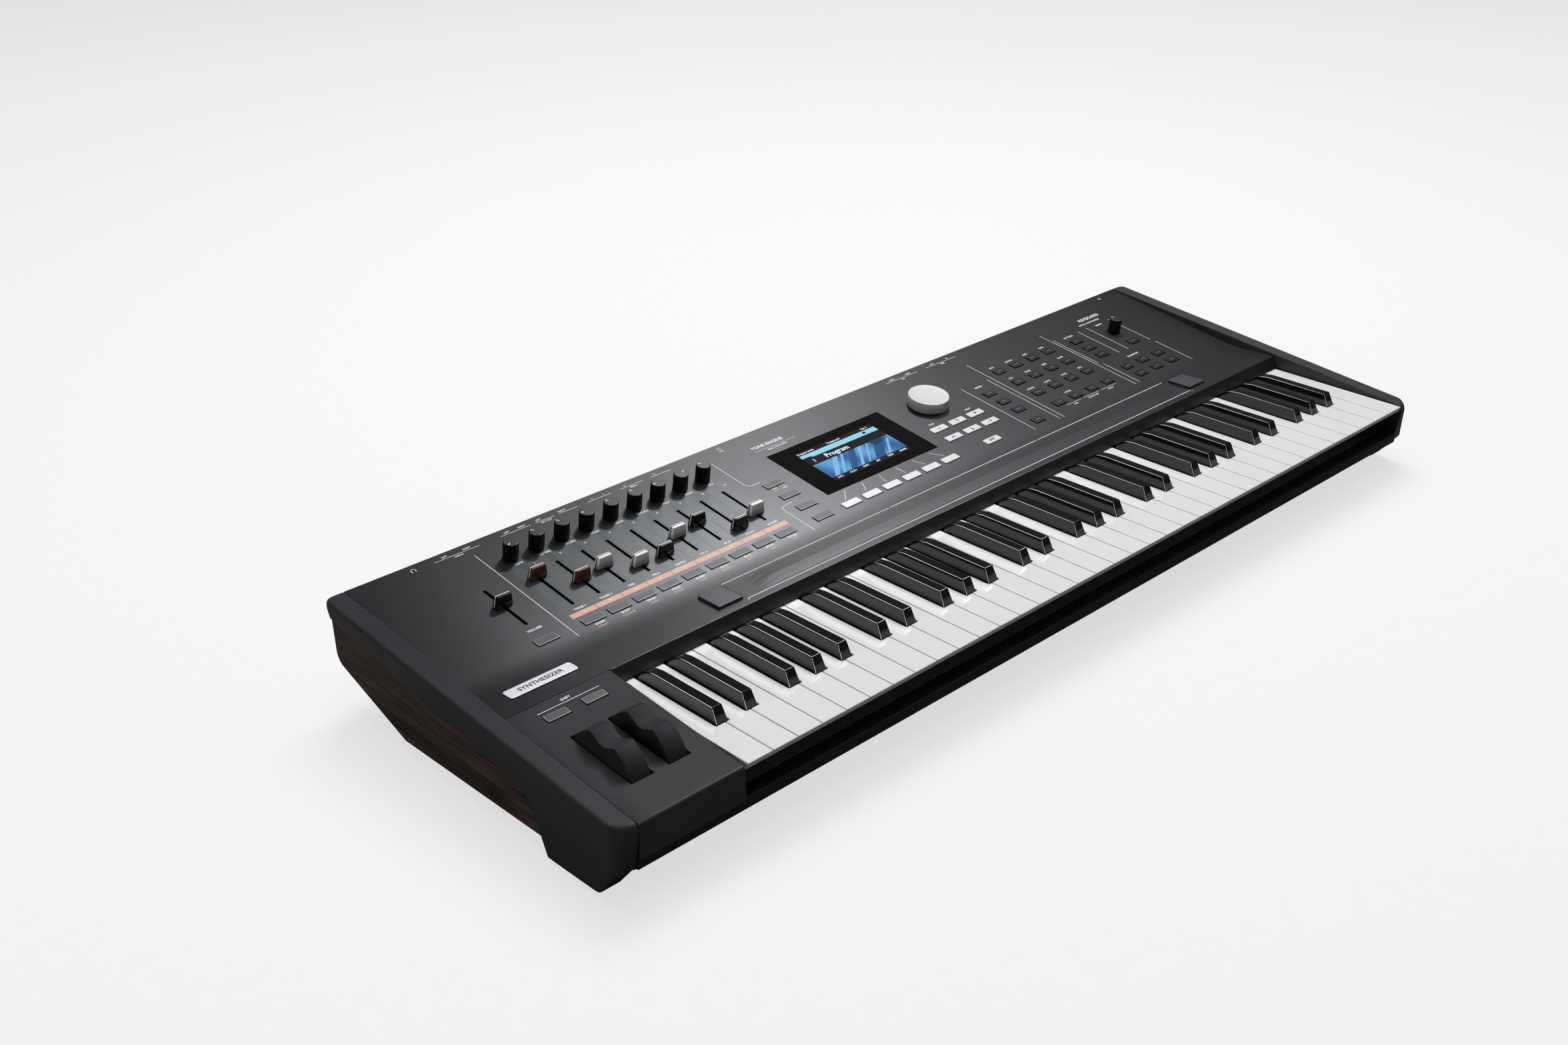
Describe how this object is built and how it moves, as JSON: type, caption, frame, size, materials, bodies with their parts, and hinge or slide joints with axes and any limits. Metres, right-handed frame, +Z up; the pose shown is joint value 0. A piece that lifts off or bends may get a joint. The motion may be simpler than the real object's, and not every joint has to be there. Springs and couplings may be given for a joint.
{
  "type": "synthesizer keyboard",
  "caption": "Five-octave stage synthesizer with wood sides, thumb wheels, slide and rotary controls, display, data wheel, button banks and sprung keys.",
  "frame": {"origin": "middle of the bottom of the bounding box, at table height under the feet", "axes": "+X towards the high notes, +Y towards the back of the instrument, +Z up; the player sits on the -Y side"},
  "size_m": [0.9754, 0.347, 0.1074],
  "materials": {
    "casing": "matt charcoal moulding",
    "panel": "satin gunmetal paint",
    "wood": "dark rosewood veneer, satin",
    "white_key": "gloss off-white",
    "black_key": "gloss black",
    "knob": "fine matt black with a white pointer",
    "cap_black": "satin black",
    "cap_grey": "satin light grey",
    "cap_red": "satin dark red",
    "grey_button": "satin dark grey",
    "white_button": "satin white",
    "rubber": "soft matt rubber",
    "glass": "black-bordered display glass",
    "silver": "satin silver",
    "steel": "plain zinc-plated steel",
    "board": "green circuit board"
  },
  "bodies": {
    "root": {"bottom_case": "casing", "top_panel": "panel", "rear_panel": "casing", "left_cheek": "casing", "right_cheek": "casing", "left_wood_side": "wood", "right_wood_side": "wood", "controller_block": "casing", "front_rail": "casing", "keybed_chassis": "steel", "main_board": "board", "jack_board": "board", "display_glass": "glass", "display_module": "steel", "ribbon_strip": "rubber", "name_plate": "silver", "front_left_foot": "rubber", "front_right_foot": "rubber", "rear_left_foot": "rubber", "rear_right_foot": "rubber"},
    "white_keys_1": {"white_keys_1": "white_key"},
    "black_keys_1": {"black_keys_1": "black_key"},
    "white_keys_2": {"white_keys_2": "white_key"},
    "black_keys_2": {"black_keys_2": "black_key"},
    "white_keys_3": {"white_keys_3": "white_key"},
    "black_keys_3": {"black_keys_3": "black_key"},
    "white_keys_4": {"white_keys_4": "white_key"},
    "black_keys_4": {"black_keys_4": "black_key"},
    "white_keys_5": {"white_keys_5": "white_key"},
    "black_keys_5": {"black_keys_5": "black_key"},
    "pitch_wheel": {"pitch_wheel": "rubber"},
    "mod_wheel": {"mod_wheel": "rubber"},
    "data_wheel": {"data_wheel": "white_button"},
    "tempo_knob": {"tempo_knob": "knob"},
    "knob_1": {"knob_1": "knob"},
    "knob_2": {"knob_2": "knob"},
    "knob_3": {"knob_3": "knob"},
    "knob_4": {"knob_4": "knob"},
    "knob_5": {"knob_5": "knob"},
    "knob_6": {"knob_6": "knob"},
    "knob_7": {"knob_7": "knob"},
    "knob_8": {"knob_8": "knob"},
    "knob_9": {"knob_9": "knob"},
    "volume_fader": {"volume_fader": "cap_black"},
    "fader_1": {"fader_1": "cap_red"},
    "fader_2": {"fader_2": "cap_red"},
    "fader_3": {"fader_3": "cap_grey"},
    "fader_4": {"fader_4": "cap_grey"},
    "fader_5": {"fader_5": "cap_black"},
    "fader_6": {"fader_6": "cap_grey"},
    "fader_7": {"fader_7": "cap_black"},
    "fader_8": {"fader_8": "cap_black"},
    "fader_9": {"fader_9": "cap_grey"},
    "effect_buttons": {"effect_buttons": "grey_button"},
    "display_buttons": {"display_buttons": "white_button"},
    "category_buttons": {"category_buttons": "grey_button"},
    "transport_buttons": {"transport_buttons": "grey_button"},
    "transpose_buttons": {"transpose_buttons": "grey_button"},
    "end_pads": {"end_pads": "rubber"},
    "power_switch": {"power_switch": "cap_black"}
  },
  "joints": [
    {"name": "white_keys_1_press", "type": "hinge", "parent": "root", "child": "white_keys_1", "pos_m": [0, 0.0165, 0.061], "axis": [1, 0, 0], "range_deg": [0, 3]},
    {"name": "black_keys_1_press", "type": "hinge", "parent": "root", "child": "black_keys_1", "pos_m": [0, 0.0165, 0.061], "axis": [1, 0, 0], "range_deg": [0, 3]},
    {"name": "white_keys_2_press", "type": "hinge", "parent": "root", "child": "white_keys_2", "pos_m": [0, 0.0165, 0.061], "axis": [1, 0, 0], "range_deg": [0, 3]},
    {"name": "black_keys_2_press", "type": "hinge", "parent": "root", "child": "black_keys_2", "pos_m": [0, 0.0165, 0.061], "axis": [1, 0, 0], "range_deg": [0, 3]},
    {"name": "white_keys_3_press", "type": "hinge", "parent": "root", "child": "white_keys_3", "pos_m": [0, 0.0165, 0.061], "axis": [1, 0, 0], "range_deg": [0, 3]},
    {"name": "black_keys_3_press", "type": "hinge", "parent": "root", "child": "black_keys_3", "pos_m": [0, 0.0165, 0.061], "axis": [1, 0, 0], "range_deg": [0, 3]},
    {"name": "white_keys_4_press", "type": "hinge", "parent": "root", "child": "white_keys_4", "pos_m": [0, 0.0165, 0.061], "axis": [1, 0, 0], "range_deg": [0, 3]},
    {"name": "black_keys_4_press", "type": "hinge", "parent": "root", "child": "black_keys_4", "pos_m": [0, 0.0165, 0.061], "axis": [1, 0, 0], "range_deg": [0, 3]},
    {"name": "white_keys_5_press", "type": "hinge", "parent": "root", "child": "white_keys_5", "pos_m": [0, 0.0165, 0.061], "axis": [1, 0, 0], "range_deg": [0, 3]},
    {"name": "black_keys_5_press", "type": "hinge", "parent": "root", "child": "black_keys_5", "pos_m": [0, 0.0165, 0.061], "axis": [1, 0, 0], "range_deg": [0, 3]},
    {"name": "pitch_wheel_turn", "type": "hinge", "parent": "root", "child": "pitch_wheel", "pos_m": [-0.43825, -0.10536, 0.05434], "axis": [1, 0, 0], "range_deg": [-25, 25]},
    {"name": "mod_wheel_turn", "type": "hinge", "parent": "root", "child": "mod_wheel", "pos_m": [-0.40605, -0.10536, 0.05434], "axis": [1, 0, 0], "range_deg": [-25, 25]},
    {"name": "data_wheel_turn", "type": "hinge", "parent": "root", "child": "data_wheel", "pos_m": [0.11405, 0.1125, 0.08827], "axis": [0, -0.1392, 0.9903], "continuous": true},
    {"name": "tempo_knob_turn", "type": "hinge", "parent": "root", "child": "tempo_knob", "pos_m": [0.38925, 0.1068, 0.08747], "axis": [0, -0.1392, 0.9903], "range_deg": [-150, 150]},
    {"name": "knob_1_turn", "type": "hinge", "parent": "root", "child": "knob_1", "pos_m": [-0.34375, 0.1348, 0.09141], "axis": [0, -0.1392, 0.9903], "range_deg": [-150, 150]},
    {"name": "knob_2_turn", "type": "hinge", "parent": "root", "child": "knob_2", "pos_m": [-0.31885, 0.1348, 0.09141], "axis": [0, -0.1392, 0.9903], "range_deg": [-150, 150]},
    {"name": "knob_3_turn", "type": "hinge", "parent": "root", "child": "knob_3", "pos_m": [-0.29395, 0.1348, 0.09141], "axis": [0, -0.1392, 0.9903], "range_deg": [-150, 150]},
    {"name": "knob_4_turn", "type": "hinge", "parent": "root", "child": "knob_4", "pos_m": [-0.26905, 0.1348, 0.09141], "axis": [0, -0.1392, 0.9903], "range_deg": [-150, 150]},
    {"name": "knob_5_turn", "type": "hinge", "parent": "root", "child": "knob_5", "pos_m": [-0.24415, 0.1348, 0.09141], "axis": [0, -0.1392, 0.9903], "range_deg": [-150, 150]},
    {"name": "knob_6_turn", "type": "hinge", "parent": "root", "child": "knob_6", "pos_m": [-0.21925, 0.1348, 0.09141], "axis": [0, -0.1392, 0.9903], "range_deg": [-150, 150]},
    {"name": "knob_7_turn", "type": "hinge", "parent": "root", "child": "knob_7", "pos_m": [-0.19435, 0.1348, 0.09141], "axis": [0, -0.1392, 0.9903], "range_deg": [-150, 150]},
    {"name": "knob_8_turn", "type": "hinge", "parent": "root", "child": "knob_8", "pos_m": [-0.16945, 0.1348, 0.09141], "axis": [0, -0.1392, 0.9903], "range_deg": [-150, 150]},
    {"name": "knob_9_turn", "type": "hinge", "parent": "root", "child": "knob_9", "pos_m": [-0.14455, 0.1348, 0.09141], "axis": [0, -0.1392, 0.9903], "range_deg": [-150, 150]},
    {"name": "volume_fader_slide", "type": "slide", "parent": "root", "child": "volume_fader", "axis": [0, 0.9903, 0.1392], "range_m": [-0.02689, 0.02174]},
    {"name": "fader_1_slide", "type": "slide", "parent": "root", "child": "fader_1", "axis": [0, 0.9903, 0.1392], "range_m": [-0.04204, 0.00659]},
    {"name": "fader_2_slide", "type": "slide", "parent": "root", "child": "fader_2", "axis": [0, 0.9903, 0.1392], "range_m": [-0.01881, 0.02982]},
    {"name": "fader_3_slide", "type": "slide", "parent": "root", "child": "fader_3", "axis": [0, 0.9903, 0.1392], "range_m": [-0.02285, 0.02578]},
    {"name": "fader_4_slide", "type": "slide", "parent": "root", "child": "fader_4", "axis": [0, 0.9903, 0.1392], "range_m": [-0.00871, 0.03992]},
    {"name": "fader_5_slide", "type": "slide", "parent": "root", "child": "fader_5", "axis": [0, 0.9903, 0.1392], "range_m": [-0.0077, 0.04093]},
    {"name": "fader_6_slide", "type": "slide", "parent": "root", "child": "fader_6", "axis": [0, 0.9903, 0.1392], "range_m": [-0.02184, 0.02679]},
    {"name": "fader_7_slide", "type": "slide", "parent": "root", "child": "fader_7", "axis": [0, 0.9903, 0.1392], "range_m": [-0.02588, 0.02275]},
    {"name": "fader_8_slide", "type": "slide", "parent": "root", "child": "fader_8", "axis": [0, 0.9903, 0.1392], "range_m": [-0.00164, 0.04698]},
    {"name": "fader_9_slide", "type": "slide", "parent": "root", "child": "fader_9", "axis": [0, 0.9903, 0.1392], "range_m": [-0.00972, 0.03891]},
    {"name": "effect_buttons_press", "type": "slide", "parent": "root", "child": "effect_buttons", "axis": [0, 0.1392, -0.9903], "range_m": [0, 0.0008]},
    {"name": "display_buttons_press", "type": "slide", "parent": "root", "child": "display_buttons", "axis": [0, 0.1392, -0.9903], "range_m": [0, 0.0008]},
    {"name": "category_buttons_press", "type": "slide", "parent": "root", "child": "category_buttons", "axis": [0, 0.1392, -0.9903], "range_m": [0, 0.0008]},
    {"name": "transport_buttons_press", "type": "slide", "parent": "root", "child": "transport_buttons", "axis": [0, 0.1392, -0.9903], "range_m": [0, 0.0008]},
    {"name": "transpose_buttons_press", "type": "slide", "parent": "root", "child": "transpose_buttons", "axis": [0, 0.0906, -0.9959], "range_m": [0, 0.0008]},
    {"name": "end_pads_press", "type": "slide", "parent": "root", "child": "end_pads", "axis": [0, -0.0335, -0.9994], "range_m": [0, 0.0008]},
    {"name": "power_switch_rock", "type": "hinge", "parent": "root", "child": "power_switch", "pos_m": [0.43925, 0.1647, 0.07], "axis": [1, 0, 0], "range_deg": [0, 10]}
  ]
}
